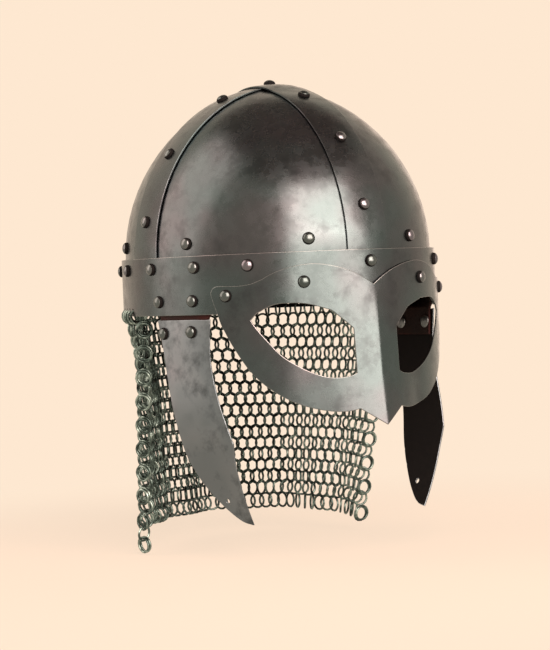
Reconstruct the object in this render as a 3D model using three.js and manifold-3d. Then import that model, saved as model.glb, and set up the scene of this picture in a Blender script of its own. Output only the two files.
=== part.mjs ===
// Riveted spangen helmet with a spectacle mask, two cheek plates and a mail aventail.
// Millimetres, +Z up. The wearer faces -Y, so the wearer's right is -X.
// The origin is the centre of the head opening, in the plane of the brow band's lower rim.
import * as THREE from "three";
import { mergeVertices } from "three/addons/utils/BufferGeometryUtils.js";
import Module from "manifold-3d";

const wasm = await Module();
wasm.setup();

// Driving sizes of the skull
const steel_sheet = 1.2;
const clearance = 0.3;
const skull_half_width = 105;
const skull_half_length = 120.3;
const crown_rise = 119;
const brow_height = 40.5;
const skirt_overlap = 14;
const strap_width = 31;
// The dome's two curves: shares above 1 draw the outline in towards a point
const girth_share = 1.07;
const climb_share = 1.015;

// Leather
const hinge_leather = 2;
const liner_leather = 1.5;

// Rivets: domed heads outside, a clenched tail inside
const rivet_head_radius = 4.3;
const rivet_head_height = 3.4;
const rivet_shank_radius = 2;
const rivet_tail_radius = 3;
const rivet_tail_height = 1;
const washer_radius = 4.7;
const rivet_sides = 6;
const rivet_head_steps = 2;

// Rivet rows. turns are degrees from the front towards each side, climbs are degrees up the dome
const band_row_height = 32.5;
const band_row_turns = [44, 64, 84.5, 104, 124, 144, 162];
const cheek_row_height = 9.7;
const liner_row_climb = 4.2;
const liner_rows = [{ end: "front", turns: [22.6, 68] }, { end: "rear", turns: [112, 157.4] }];
const strap_rows = [
  { name: "front", turn: 0, climbs: [14.8, 40, 66] },
  { name: "rear", turn: 180, climbs: [14.8, 40, 66] },
  { name: "right", turn: 90, climbs: [12.4, 37.4, 67] },
  { name: "left", turn: -90, climbs: [12.4, 37.4, 67] },
];
const mask_rivets = [{ place: "ear", turn: 51.8, height: 12.4 }, { place: "brow", turn: 25, height: 20 }];

// Mask
const mask_brow_rise = 32.4;
const mask_drop = 78.2;
const nose_lean = 12.4;
const nose_half_width = 38;
const mask_ear_angle = 57.2;
const mask_margin_angle = 4;
const nose_root_height = 26;
const mask_side_columns = 8;
const mask_nose_columns = 4;
const mask_line_steps = [26, 22, 1];
const eye_line_steps = [14, 18];
const eye_recess = 1.2;
const recess_line_steps = 7;

// Cheek plates
const cheek_gap = 3;
const cheek_length = 140;
const cheek_width = 50.5;
const cheek_curl = 20.5;
const cheek_straight = 57.8;
const cheek_hinge_angle = 70.3;
const left_plate_turn = 24;
const left_plate_swing = 3.5;
const tie_hole_radius = 1.6;
const tie_hole_along = 23;
const tie_hole_down = 126.5;
const cheek_bow_radius = 133.5;
const hinge_rivet_turns = [65.1, 80.8];
const cheek_rivet_places = { right: [[8.8, 11.4], [-17.6, 12.2]], left: [[17, 12.4], [-9.9, 12.7]] };
const cheek_columns = 8;
const cheek_rows = 7;
const cheek_line_steps = [8, 5, 14];

// Hinge leathers
const tab_rise = 19;
const tab_drop = 22;
const tab_flex_gap = 0.9;
const tab_taper_share = 0.96;
const tab_columns = 6;

// Aventail
const mail_thickness = 3;
const mail_strand = 2.6;
const mail_drop = 163;
const mail_rise = 9;
const mail_front_top = 16;
const mail_front_low = 46.5;
const mail_low_half_width = 94.7;
const mail_low_back = 110;
const mail_fold_depth = 3;
const mail_fold_count = 5;
const mail_gather_share = 0.15;
const mail_left_sag = 12;
const mail_columns = 18;
const mail_rows = 7;
const mail_lean = 1.2;
const mail_low_power = 1.6;
const mail_settle_share = 0.4;
const rim_hole_radius = 1.5;
const rim_hole_inset = 4.2;
const rim_hole_count = 40;
const rim_hole_sides = 5;

// Liner
const liner_low = 43;
const liner_band_height = 15;
const liner_stand_off = 12;
const liner_settle_share = 0.5;
const liner_tongues = 8;
const liner_tongue_steps = 3;
const liner_tongue_turn = 2;
const liner_crown_radius = 27;
const liner_gap = 0.5;
const crown_pad_radius = 34;
const crown_pad_thickness = 5;
const crown_pad_sides = 20;

// Layers of the skull as distances outward from the skull plates' inner face
const layer = steel_sheet + clearance;
const plate_layer = { inner: 0, outer: steel_sheet };
const strap_layer = { inner: layer, outer: layer + steel_sheet };
const band_layer = { inner: 2 * layer, outer: 2 * layer + steel_sheet };
const mask_layer = { inner: 3 * layer, outer: 3 * layer + steel_sheet };
const tab_layer = { inner: band_layer.inner - clearance - hinge_leather, outer: band_layer.inner - clearance };
const liner_layer = { inner: -liner_gap - liner_leather, outer: -liner_gap };

// Grid that every layer of the skull shares, so that their flats lie parallel
const skull_columns = 40;
const skull_climbs = [0, 10, 20, 30, 40, 50, 60, 70, 80, 90];
const crossing_climbs = [0, 10, 20, 30, 40, 50, 60, 70, 75, 80, 85, 90];
const crossing_start = 70;
const crossing_end = 80;
const overrun = 6.4 * layer;
const skull_reach = 2 * skull_half_length;
const angle_nudge = 0.5;
const sweep_nudge = 0.001;

const steel = { color: 0x4d5350, roughness: 0.42, metalness: 0.9 };
const bright_steel = { color: 0x7c8084, roughness: 0.3, metalness: 0.95 };
const leather = { color: 0x4a1f16, roughness: 0.75, metalness: 0 };
const mail_steel = { color: 0x5f6f68, roughness: 0.45, metalness: 0.9 };
const finishes = { steel, bright_steel, leather, mail_steel };

const helmet = new THREE.Group();
const radians = THREE.MathUtils.degToRad;
const up = new THREE.Vector3(0, 0, 1);

function addPiece(name, solid, finish) {
  const mesh = new THREE.Mesh(geometryOf(solid), new THREE.MeshStandardMaterial(finishes[finish]));
  mesh.name = name;
  helmet.add(mesh);
}

// Solids and geometries

function solidOf(geometry) {
  const bare = geometry.clone();
  bare.deleteAttribute("normal");
  bare.deleteAttribute("uv");
  const merged = mergeVertices(bare);
  const triVerts = [];
  for (let i = 0; i < merged.index.count; i += 3) {
    const [a, b, c] = [0, 1, 2].map((k) => merged.index.getX(i + k));
    if (a !== b && b !== c && c !== a) triVerts.push(a, b, c);
  }
  return new wasm.Manifold(new wasm.Mesh({
    numProp: 3,
    vertProperties: new Float32Array(merged.attributes.position.array),
    triVerts: new Uint32Array(triVerts),
  }));
}

function geometryOf(solid) {
  const mesh = solid.getMesh();
  const geometry = new THREE.BufferGeometry();
  const places = [];
  for (let i = 0; i < mesh.vertProperties.length; i += mesh.numProp) {
    places.push(mesh.vertProperties[i], mesh.vertProperties[i + 1], mesh.vertProperties[i + 2]);
  }
  geometry.setAttribute("position", new THREE.Float32BufferAttribute(places, 3));
  geometry.setIndex([...mesh.triVerts]);
  geometry.computeVertexNormals();
  return geometry;
}

function mirrored(solid) {
  const geometry = geometryOf(solid);
  geometry.scale(-1, 1, 1);
  const index = geometry.index;
  for (let i = 0; i < index.count; i += 3) {
    const first = index.getX(i);
    index.setX(i, index.getX(i + 1));
    index.setX(i + 1, first);
  }
  return solidOf(geometry);
}

// A sheet of metal or leather over a grid: at(u, v, side) gives the point on its inner face (side 0)
// or its outer face (side 1), and has(u, v) says which cells of the grid are filled
function sheet(columns, rows, at, { closed = false, has = () => true } = {}) {
  const points = [];
  const across = closed ? columns : columns + 1;
  const number = (u, v, side) => ((closed ? u % columns : u) + across * v) * 2 + side;
  for (let v = 0; v <= rows; v += 1) {
    for (let u = 0; u < across; u += 1) {
      for (const side of [0, 1]) points.push(...at(u, v, side).toArray());
    }
  }
  const filled = (u, v) => {
    if (v < 0 || v >= rows) return false;
    if (!closed && (u < 0 || u >= columns)) return false;
    return has((u + columns) % columns, v);
  };
  const triangles = [];
  const quad = (a, b, c, d) => triangles.push(a, b, c, a, c, d);
  for (let v = 0; v < rows; v += 1) {
    for (let u = 0; u < columns; u += 1) {
      if (!filled(u, v)) continue;
      const [o, i] = [1, 0];
      quad(number(u, v, o), number(u + 1, v, o), number(u + 1, v + 1, o), number(u, v + 1, o));
      quad(number(u, v, i), number(u, v + 1, i), number(u + 1, v + 1, i), number(u + 1, v, i));
      const edges = [
        [u, v - 1, u, v, u + 1, v],
        [u + 1, v, u + 1, v, u + 1, v + 1],
        [u, v + 1, u + 1, v + 1, u, v + 1],
        [u - 1, v, u, v + 1, u, v],
      ];
      for (const [nu, nv, au, av, bu, bv] of edges) {
        if (filled(nu, nv)) continue;
        quad(number(au, av, i), number(bu, bv, i), number(bu, bv, o), number(au, av, o));
      }
    }
  }
  const geometry = new THREE.BufferGeometry();
  geometry.setAttribute("position", new THREE.Float32BufferAttribute(points, 3));
  geometry.setIndex(triangles);
  return solidOf(geometry);
}

function block(low, high) {
  const size = new THREE.Vector3().subVectors(high, low);
  const geometry = new THREE.BoxGeometry(size.x, size.y, size.z);
  geometry.translate(...new THREE.Vector3().addVectors(low, high).multiplyScalar(0.5).toArray());
  return solidOf(geometry);
}

// A prism with the outline given in across and up, pushed both ways along the facing direction
function prism(outline, facing) {
  const across = new THREE.Vector3().crossVectors(facing, up).normalize();
  const geometry = new THREE.ExtrudeGeometry(new THREE.Shape(outline), {
    depth: skull_reach, bevelEnabled: false,
  });
  geometry.applyMatrix4(new THREE.Matrix4().makeBasis(across.clone().negate(), up, facing));
  return solidOf(geometry);
}

// Where a point of space falls in the outline of a prism with that facing
function flatten(point, facing) {
  const across = new THREE.Vector3().crossVectors(facing, up).normalize().negate();
  return new THREE.Vector2(point.dot(across), point.z);
}

// The skull's surface. turn is the angle from the front, growing to the wearer's right, and
// offset is the distance outward from the skull plates' inner face.

function wallPoint(turn, z, offset) {
  const a = radians(turn);
  const normal = wallNormal(turn);
  const foot = new THREE.Vector3(-skull_half_width * Math.sin(a), -skull_half_length * Math.cos(a), z);
  return foot.addScaledVector(normal, offset);
}

function wallNormal(turn) {
  const a = radians(turn);
  const x = -Math.sin(a) / skull_half_width;
  const y = -Math.cos(a) / skull_half_length;
  return new THREE.Vector3(x, y, 0).normalize();
}

function domeNormal(turn, climb) {
  const a = radians(turn);
  const s = radians(climb);
  const x = (-Math.sin(a) * Math.cos(s)) / skull_half_width;
  const y = (-Math.cos(a) * Math.cos(s)) / skull_half_length;
  return new THREE.Vector3(x, y, Math.sin(s) / crown_rise).normalize();
}

function domePoint(turn, climb, offset) {
  const a = radians(turn);
  const s = radians(climb);
  const girth = Math.max(Math.cos(s), 0) ** girth_share;
  const pole = climb >= 90;
  const x = pole ? 0 : -skull_half_width * girth * Math.sin(a);
  const y = pole ? 0 : -skull_half_length * girth * Math.cos(a);
  const z = brow_height + crown_rise * Math.sin(s) ** climb_share;
  return new THREE.Vector3(x, y, z).addScaledVector(pole ? up : domeNormal(turn, climb), offset);
}

// A whole dome with a straight skirt below it; lift(climb) raises it where straps cross
function domeShell({ inner, outer }, climbs, lift = () => 0) {
  const at = (u, v, side) => {
    const turn = (-360 * u) / skull_columns;
    const offset = side ? outer : inner;
    if (v === 0) return wallPoint(turn, brow_height - skirt_overlap, offset);
    const climb = climbs[v - 1];
    return domePoint(turn, climb, offset + lift(climb));
  };
  return sheet(skull_columns, climbs.length, at, { closed: true });
}

// The grid's flats as one surface: each skull layer's flats lie parallel to them, so rivets seat on them
function flatPoint(turn, climb, offset) {
  const column = (turn * skull_columns) / 360;
  const row = Math.min(skull_climbs.findLastIndex((c) => c <= climb), skull_climbs.length - 2);
  const [low, high] = [skull_climbs[row], skull_climbs[row + 1]];
  const [u, v] = [column - Math.floor(column), (climb - low) / (high - low)];
  const corner = (i, c) => domePoint(((Math.floor(column) + i) * 360) / skull_columns, c, offset);
  const foot = corner(0, low).lerp(corner(1, low), u);
  return foot.lerp(corner(0, high).lerp(corner(1, high), u), v);
}

function flatWallPoint(turn, z, offset) {
  const point = flatPoint(turn, 0, offset);
  point.z = z;
  return point;
}

// Outward normal of the flats; on a fold it halves the angle between them
function flatNormal(turn, climb) {
  const across = flatPoint(turn - angle_nudge, climb, 0).sub(flatPoint(turn + angle_nudge, climb, 0));
  const upward = flatPoint(turn, climb + angle_nudge, 0);
  upward.sub(flatPoint(turn, Math.max(climb - angle_nudge, 0), 0));
  return across.cross(upward).normalize();
}

function flatWallNormal(turn) {
  const across = flatPoint(turn - angle_nudge, 0, 0).sub(flatPoint(turn + angle_nudge, 0, 0));
  return across.cross(up).normalize();
}

function wallRing({ inner, outer }, low, high) {
  const at = (u, v, side) => wallPoint((-360 * u) / skull_columns, v ? high : low, side ? outer : inner);
  return sheet(skull_columns, 1, at, { closed: true });
}

// Rivets. Each goes through everything between its grip's inner and outer distances.
const rivets = [];

function rivetProfile(grip, tail_radius) {
  const tail_top = grip.inner - clearance;
  const head_foot = grip.outer + clearance;
  const profile = [
    [0, tail_top - rivet_tail_height],
    [tail_radius, tail_top - rivet_tail_height],
    [tail_radius, tail_top],
    [rivet_shank_radius, tail_top],
    [rivet_shank_radius, head_foot],
    [rivet_head_radius, head_foot],
  ];
  for (let step = 1; step <= rivet_head_steps; step += 1) {
    const a = radians((90 * step) / rivet_head_steps);
    const radius = step === rivet_head_steps ? 0 : rivet_head_radius * Math.cos(a);
    profile.push([radius, head_foot + rivet_head_height * Math.sin(a)]);
  }
  return profile.map(([r, h]) => new THREE.Vector2(r, h));
}

function turned(profile, sides, foot, direction) {
  const geometry = new THREE.LatheGeometry(profile, sides);
  const turnTo = new THREE.Quaternion().setFromUnitVectors(new THREE.Vector3(0, 1, 0), direction);
  geometry.applyQuaternion(turnTo);
  geometry.translate(foot.x, foot.y, foot.z);
  return solidOf(geometry);
}

function addRivet(name, foot, direction, grip, { tail_radius = rivet_tail_radius, joined = null } = {}) {
  const solid = turned(rivetProfile(grip, tail_radius), rivet_sides, foot, direction);
  const reach = rivet_shank_radius + clearance;
  const bore = [
    [0, grip.inner - overrun], [reach, grip.inner - overrun],
    [reach, grip.outer + overrun], [0, grip.outer + overrun],
  ].map(([r, h]) => new THREE.Vector2(r, h));
  rivets.push({ name, solid, hole: turned(bore, rivet_sides, foot, direction), foot, joined });
}

// Cuts the rivets' holes out of a piece, and joins to it the rivets that belong to it
function drilled(piece, owner = null) {
  const box = piece.boundingBox();
  const inside = ({ foot }) => ["x", "y", "z"].every(
    (k, i) => foot[k] > box.min[i] - overrun && foot[k] < box.max[i] + overrun,
  );
  let cut = piece;
  for (const rivet of rivets.filter(inside)) {
    cut = rivet.joined === owner && owner ? cut.add(rivet.solid) : cut.subtract(rivet.hole);
  }
  return cut;
}

const sides = [{ side: "right", turn: 1 }, { side: "left", turn: -1 }];

// Band row: on each side from the front to the rear, and one rivet at each end of the centre line
function addBandRivet(name, turn, joined = null) {
  const foot = flatWallPoint(turn, band_row_height, 0);
  const grip = { inner: plate_layer.inner - clearance, outer: band_layer.outer };
  addRivet(name, foot, flatWallNormal(turn), grip, { joined });
}
addBandRivet("band_rivet_front", 0);
addBandRivet("band_rivet_rear", 180);
for (const { side, turn } of sides) {
  band_row_turns.forEach((angle, i) => {
    const last = i === band_row_turns.length - 1;
    addBandRivet(`band_rivet_${side}_${i + 1}`, turn * angle, last ? "brow_band" : null);
  });
}

// Rivets that hold the liner, just above the band
for (const { side, turn } of sides) {
  for (const { end, turns } of liner_rows) {
    turns.forEach((angle, i) => {
      const foot = flatPoint(turn * angle, liner_row_climb, 0);
      const grip = { inner: liner_layer.inner, outer: plate_layer.outer };
      const joined = end === "rear" ? `dome_plate_rear_${side}` : null;
      const name = `liner_rivet_${end}_${side}_${i + 1}`;
      addRivet(name, foot, flatNormal(turn * angle, liner_row_climb), grip, { joined });
    });
  }
}

// Rivets along the straps and the one at the crown
const strap_grip = { inner: plate_layer.inner - clearance, outer: strap_layer.outer };
for (const row of strap_rows) {
  row.climbs.forEach((climb, i) => {
    const foot = flatPoint(row.turn, climb, 0);
    addRivet(`strap_rivet_${row.name}_${i + 1}`, foot, flatNormal(row.turn, climb), strap_grip);
  });
}
const crown_grip = { inner: plate_layer.inner - clearance, outer: strap_layer.outer + layer };
addRivet("crown_rivet", domePoint(0, 90, 0), up, crown_grip);

// Mask rivets: one at each ear and one at each brow
for (const { side, turn } of sides) {
  for (const rivet of mask_rivets) {
    const foot = flatWallPoint(turn * rivet.turn, rivet.height, 0);
    const grip = { inner: band_layer.inner, outer: mask_layer.outer + clearance };
    addRivet(`mask_rivet_${rivet.place}_${side}`, foot, flatWallNormal(turn * rivet.turn), grip);
  }
}

// Cheek plates. along runs forward from the hinge's middle, and down from the rim.
const cheek_out = wallNormal(cheek_hinge_angle);
const cheek_along = new THREE.Vector3().crossVectors(up, cheek_out);
const cheek_root = wallPoint(cheek_hinge_angle, 0, 0);

function cheekPoint(along, down, offset) {
  const fade = Math.max(1 - down / cheek_length, 0);
  const curl = Math.max(down - cheek_straight, 0) / (cheek_length - cheek_straight);
  const inward = (along ** 2 / (2 * cheek_bow_radius)) * fade + cheek_curl * curl ** 2;
  const bend = (2 * cheek_curl * curl) / (cheek_length - cheek_straight);
  const normal = cheek_out.clone().addScaledVector(up, -bend).normalize();
  const point = cheek_root.clone().addScaledVector(cheek_along, along);
  point.addScaledVector(cheek_out, -inward).addScaledVector(up, -down);
  return point.addScaledVector(normal, offset);
}

function cheekNormal(along, down) {
  const forward = cheekPoint(along + clearance, down, 0).sub(cheekPoint(along - clearance, down, 0));
  const upward = cheekPoint(along, down - clearance, 0).sub(cheekPoint(along, down + clearance, 0));
  return forward.cross(upward).normalize();
}

function cheekSheet({ inner, outer }, rear, front, top, bottom, columns, rows) {
  const at = (u, v, side) => {
    const along = THREE.MathUtils.lerp(rear, front, u / columns);
    const down = THREE.MathUtils.lerp(bottom, top, v / rows);
    return cheekPoint(along, down, side ? outer : inner);
  };
  return sheet(columns, rows, at);
}

function smoothLine(shares, steps) {
  return new THREE.SplineCurve(shares.map(([x, y]) => new THREE.Vector2(x, y))).getPoints(steps);
}

function joinLines(lines) {
  return lines.flatMap((line, i) => (i ? line.slice(1) : line));
}

// The cheek plate's edges, as shares of its width forward of the hinge's middle and of its length down
const cheek_front_shares = [[0.495, 0], [0.479, 0.186], [0.558, 0.35], [0.703, 0.512], [0.784, 0.6]];
const cheek_tip_shares = [[0.784, 0.6], [0.762, 0.7], [0.766, 0.8], [0.774, 0.914], [0.778, 1]];
const cheek_rear_shares = [
  [0.778, 1], [0.6, 0.984], [0.412, 0.933], [0.226, 0.86], [0.046, 0.766],
  [-0.087, 0.662], [-0.184, 0.516], [-0.289, 0.35], [-0.394, 0.143], [-0.495, 0],
];

function cheekPrism(points) {
  const flat = points.map(({ x, y }) => {
    const point = cheek_root.clone().addScaledVector(cheek_along, x);
    return flatten(point.addScaledVector(up, -y), cheek_out);
  });
  return prism(flat, cheek_out);
}

function cheekPlate() {
  const edges = [cheek_front_shares, cheek_tip_shares, cheek_rear_shares];
  const outline = joinLines(edges.map((edge, i) => smoothLine(edge, cheek_line_steps[i]))).map(({ x, y }) => (
    new THREE.Vector2(x * cheek_width, cheek_gap + y * cheek_length)
  ));
  const bottom = cheek_gap + cheek_length + overrun;
  const body = cheekSheet(band_layer, -cheek_width, cheek_width, 0, bottom, cheek_columns, cheek_rows);
  const hole = turned(tieHoleProfile(), rivet_sides, cheekPoint(tie_hole_along, tie_hole_down, 0), cheek_out);
  return body.intersect(cheekPrism(outline)).subtract(hole);
}

function tieHoleProfile() {
  const ends = [[0, -overrun], [tie_hole_radius, -overrun], [tie_hole_radius, 2 * overrun], [0, 2 * overrun]];
  return ends.map(([r, h]) => new THREE.Vector2(r, h));
}

function boxOutline(rear, front, top, bottom) {
  return [[rear, top], [front, top], [front, bottom], [rear, bottom]].map(([x, y]) => new THREE.Vector2(x, y));
}

// The hinge leather in its two halves: one rides in the band, the other on the plate
function upperTab() {
  const half = cheek_width / 2;
  const low = -cheek_gap / 2 + tab_flex_gap / 2;
  const ring = wallRing(tab_layer, low, tab_rise);
  return ring.intersect(cheekPrism(boxOutline(-half, half, -tab_rise - overrun, overrun)));
}

function lowerTab() {
  const half = (cheek_width / 2) * tab_taper_share;
  const top = cheek_gap / 2 + tab_flex_gap / 2;
  return cheekSheet(tab_layer, -half, half, top, tab_drop, tab_columns, 1);
}

// The left plate hangs turned about its front edge, with its rear edge inward, and swung a little inward
const mirror = new THREE.Vector3(-1, 1, 1);
const left_pivot = cheekPoint(cheek_width / 2, 0, band_layer.inner).multiply(mirror);
const left_along = cheek_along.clone().multiply(mirror);
const left_hang = new THREE.Matrix4().makeTranslation(left_pivot)
  .multiply(new THREE.Matrix4().makeRotationZ(radians(left_plate_turn)))
  .multiply(new THREE.Matrix4().makeRotationAxis(left_along, radians(-left_plate_swing)))
  .multiply(new THREE.Matrix4().makeTranslation(left_pivot.clone().negate()));

const hinge_grip = { inner: tab_layer.inner, outer: band_layer.outer };
const washered = { tail_radius: washer_radius };
for (const { side, turn } of sides) {
  hinge_rivet_turns.forEach((angle, i) => {
    const foot = flatWallPoint(turn * angle, cheek_row_height, 0);
    addRivet(`hinge_rivet_${side}_${i + 1}`, foot, flatWallNormal(turn * angle), hinge_grip, washered);
  });
  cheek_rivet_places[side].forEach(([along, down], i) => {
    const across = new THREE.Vector3(turn, 1, 1);
    const foot = cheekPoint(along, down, 0).multiply(across);
    const facing = cheekNormal(along, down).multiply(across);
    if (side === "left") {
      foot.applyMatrix4(left_hang);
      facing.transformDirection(left_hang);
    }
    addRivet(`cheek_rivet_${side}_${i + 1}`, foot, facing, hinge_grip, washered);
  });
}

// The mask: the band's wall carried downward, pushed forward in a ridge along the nose
function maskPoint(turn, z, offset) {
  const point = wallPoint(turn, z, offset);
  const push = nose_lean * Math.max(0, (nose_root_height - z) / (nose_root_height + mask_drop));
  point.y -= push * Math.max(0, 1 - Math.abs(point.x) / nose_half_width);
  return point;
}

// The mask's edges, as shares of its ear angle from the ridge, and of its brow rise or its drop
const mask_brow_shares = [
  [0, 0.5185], [0.07, 0.673], [0.157, 0.821], [0.262, 0.932], [0.383, 0.988], [0.502, 0.944],
  [0.61, 0.833], [0.729, 0.642], [0.823, 0.586], [0.963, 0.589], [1, 0.478], [1, 0.386],
];
const mask_cheek_shares = [
  [1, 0.386], [0.9615, 0], [0.914, -0.173], [0.846, -0.347], [0.76, -0.522], [0.647, -0.669],
  [0.495, -0.793], [0.341, -0.857], [0.234, -0.872], [0.149, -0.854],
];
const mask_nose_shares = [[0.149, -0.854], [0, -1]];
const eye_brow_shares = [
  [0.759, -0.059], [0.6975, 0.037], [0.617, 0.1636], [0.519, 0.185], [0.423, 0.154],
  [0.325, 0.056], [0.229, -0.064], [0.1556, -0.16],
];
const eye_cheek_shares = [
  [0.1556, -0.545], [0.2045, -0.57], [0.297, -0.5755], [0.39, -0.537], [0.486, -0.468],
  [0.582, -0.373], [0.6556, -0.256], [0.722, -0.139], [0.759, -0.059],
];

function maskPrism(shares, ridge_points, lift = 0) {
  const facing = wallNormal(mask_ear_angle / 2);
  const middle = (mask_layer.inner + mask_layer.outer) / 2;
  const flat = shares.map(({ x, y }) => {
    const z = y * (y > 0 ? mask_brow_rise : mask_drop) + lift;
    return flatten(maskPoint(x * mask_ear_angle, z, middle), facing);
  });
  const beyond = ridge_points.map((i) => flat.at(i).clone().add(new THREE.Vector2(nose_half_width, 0)));
  return prism([...flat, ...beyond], facing);
}

function maskHalf() {
  const nose_turn = THREE.MathUtils.radToDeg(Math.asin(nose_half_width / (skull_half_width + mask_layer.inner)));
  const steps = (count) => Array.from({ length: count + 1 }, (_, i) => i / count);
  const turns = joinLines([
    steps(mask_side_columns).map((share) => (
      THREE.MathUtils.lerp(mask_ear_angle + mask_margin_angle, nose_turn, share)
    )),
    steps(mask_nose_columns).map((share) => THREE.MathUtils.lerp(nose_turn, 0, share)),
  ]);
  const heights = [-mask_drop - overrun, nose_root_height, mask_brow_rise + overrun];
  const at = (u, v, side) => maskPoint(turns[u], heights[v], side ? mask_layer.outer : mask_layer.inner);
  const body = sheet(turns.length - 1, heights.length - 1, at);
  const edges = [mask_brow_shares, mask_cheek_shares, mask_nose_shares];
  const outline = joinLines(edges.map((edge, i) => smoothLine(edge, mask_line_steps[i])));
  const eye_edges = [eye_brow_shares, eye_cheek_shares];
  const eye = joinLines(eye_edges.map((edge, i) => smoothLine(edge, eye_line_steps[i]))).slice(0, -1);
  return body.intersect(maskPrism(outline, [-1, 0])).subtract(maskPrism(eye, []));
}

// The aventail: its plan goes from the rim's ellipse to a rounder, narrower curve lower down.
// sweep runs from -1 at the left front edge, round the back, to 1 at the right front edge.
function mailPoint(sweep, fall, offset) {
  const mix = THREE.MathUtils.lerp;
  const outer_face = band_layer.inner - 2 * clearance - mail_thickness / 2;
  const top_width = skull_half_width + outer_face;
  const top_back = skull_half_length + outer_face;
  const power = mix(2, mail_low_power, Math.min(1, fall / mail_settle_share));
  const front = mix(mail_front_top, mail_front_low, fall);
  const back = mix(top_back, mail_low_back, fall);
  const edge = mix(top_width * Math.sqrt(1 - (mail_front_top / top_back) ** 2), mail_low_half_width, fall);
  const width = edge / (1 - (front / back) ** power) ** (1 / power);
  const plan = (s) => {
    const spread = 1 + mail_gather_share * fall * (1 - s * s);
    const a = s * spread * Math.atan2(edge, front);
    const [across, rear] = [Math.sin(a), Math.cos(a)];
    const reach = (Math.abs(across / width) ** power + (rear / back) ** power) ** (-1 / power);
    return new THREE.Vector3(-across * reach, rear * reach, 0);
  };
  const point = plan(sweep);
  const along = plan(sweep + sweep_nudge).sub(plan(sweep - sweep_nudge));
  const normal = new THREE.Vector3().crossVectors(along, up).normalize();
  const fold = mail_fold_depth * fall * Math.cos(Math.PI * mail_fold_count * sweep);
  point.z = mail_rise - mail_drop * fall - mail_left_sag * fall * Math.max(0, -sweep) ** 3;
  return point.addScaledVector(normal, offset + fold);
}

// A net whose upright strands lean to and fro from row to row, as linked rings do
function aventail() {
  const half = mail_thickness / 2;
  let around = 0;
  for (let i = 0; i < mail_columns; i += 1) {
    const at = (k) => mailPoint(-1 + (2 * k) / mail_columns, 0, 0);
    around += at(i + 1).distanceTo(at(i));
  }
  const lines = (count, length) => {
    const strand = mail_strand / length;
    const gap = (1 - strand) / count - strand;
    return Array.from({ length: 2 * count + 2 }, (_, i) => (
      Math.floor(i / 2) * (strand + gap) + (i % 2) * strand
    ));
  };
  const across = lines(mail_columns, around);
  const down = lines(mail_rows, mail_drop);
  const lean = mail_lean / around;
  const at = (u, v, side) => {
    const line = down.length - 1 - v;
    const rail = Math.floor(line / 2);
    const shift = lean * (rail % 2 ? 1 : -1);
    return mailPoint(-1 + 2 * (across[u] + shift), down[line], side ? half : -half);
  };
  const has = (u, v) => u % 2 === 0 || v % 2 === 0;
  return sheet(across.length - 1, down.length - 1, at, { has });
}

// The liner: a leather band with tongues that lean in to the crown, and the pad that they end on
function climbAt(z) {
  const sine = Math.max(z - brow_height, 0) / crown_rise;
  return THREE.MathUtils.radToDeg(Math.asin(sine ** (1 / climb_share)));
}

function climbWhere(radius) {
  return THREE.MathUtils.radToDeg(Math.acos((radius / skull_half_width) ** (1 / girth_share)));
}

const liner_band_top = climbAt(liner_low + liner_band_height);
const liner_end = climbWhere(liner_crown_radius);
const liner_climbs = [climbAt(liner_low), liner_band_top];
for (let i = 1; i <= liner_tongue_steps; i += 1) {
  liner_climbs.push(THREE.MathUtils.lerp(liner_band_top, liner_end, i / liner_tongue_steps));
}

function linerDrop(climb) {
  const share = (climb - liner_band_top) / (liner_end - liner_band_top);
  return liner_stand_off * THREE.MathUtils.smoothstep(share, 0, liner_settle_share);
}

function liner() {
  const tongue_columns = skull_columns / liner_tongues;
  const at = (u, v, side) => {
    const offset = side ? liner_layer.outer : liner_layer.inner;
    return flatPoint((-360 * u) / skull_columns, liner_climbs[v], offset - linerDrop(liner_climbs[v]));
  };
  const has = (u, v) => v === 0 || (u + liner_tongue_turn) % tongue_columns !== 0;
  return sheet(skull_columns, liner_climbs.length - 1, at, { closed: true, has });
}

// The pad's sloping shoulder follows the underside of the tongues, which lies lowest at the sides
function crownPad() {
  const under = (climb) => {
    const point = flatPoint(90, climb, liner_layer.inner - linerDrop(climb));
    return new THREE.Vector2(Math.hypot(point.x, point.y), point.z - clearance);
  };
  const [outer, inner] = liner_climbs.slice(-2).map(under);
  const edge = inner.clone().lerp(outer, (crown_pad_radius - inner.x) / (outer.x - inner.x));
  const low = edge.y - crown_pad_thickness;
  const profile = [
    new THREE.Vector2(0, low), new THREE.Vector2(edge.x, low), edge, inner, new THREE.Vector2(0, inner.y),
  ];
  return turned(profile, crown_pad_sides, new THREE.Vector3(), up);
}

// Rim holes that the aventail's top rings pass through
function rimHoles() {
  const profile = [
    [0, -overrun], [rim_hole_radius, -overrun], [rim_hole_radius, overrun], [0, overrun],
  ].map(([r, h]) => new THREE.Vector2(r, h));
  const holes = [];
  for (let i = 0; i < rim_hole_count; i += 1) {
    const sweep = -1 + (2 * i + 1) / rim_hole_count;
    const point = mailPoint(sweep, 0, 0);
    const turn = THREE.MathUtils.radToDeg(Math.atan2(
      -point.x / skull_half_width, -point.y / skull_half_length,
    ));
    const foot = wallPoint(turn, rim_hole_inset, band_layer.inner);
    holes.push(turned(profile, rim_hole_sides, foot, wallNormal(turn)));
  }
  return holes;
}

// Assembly
const whole_dome = domeShell(plate_layer, skull_climbs);
for (const { side, turn } of sides) {
  for (const [end, facing] of [["front", -1], ["rear", 1]]) {
    const seam = clearance / 2;
    const low = new THREE.Vector3(turn > 0 ? -skull_reach : seam, facing < 0 ? -skull_reach : seam, -skull_reach);
    const high = new THREE.Vector3(turn > 0 ? -seam : skull_reach, facing < 0 ? -seam : skull_reach, skull_reach);
    const name = `dome_plate_${end}_${side}`;
    addPiece(name, drilled(whole_dome.intersect(block(low, high)), name), "steel");
  }
}

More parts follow.
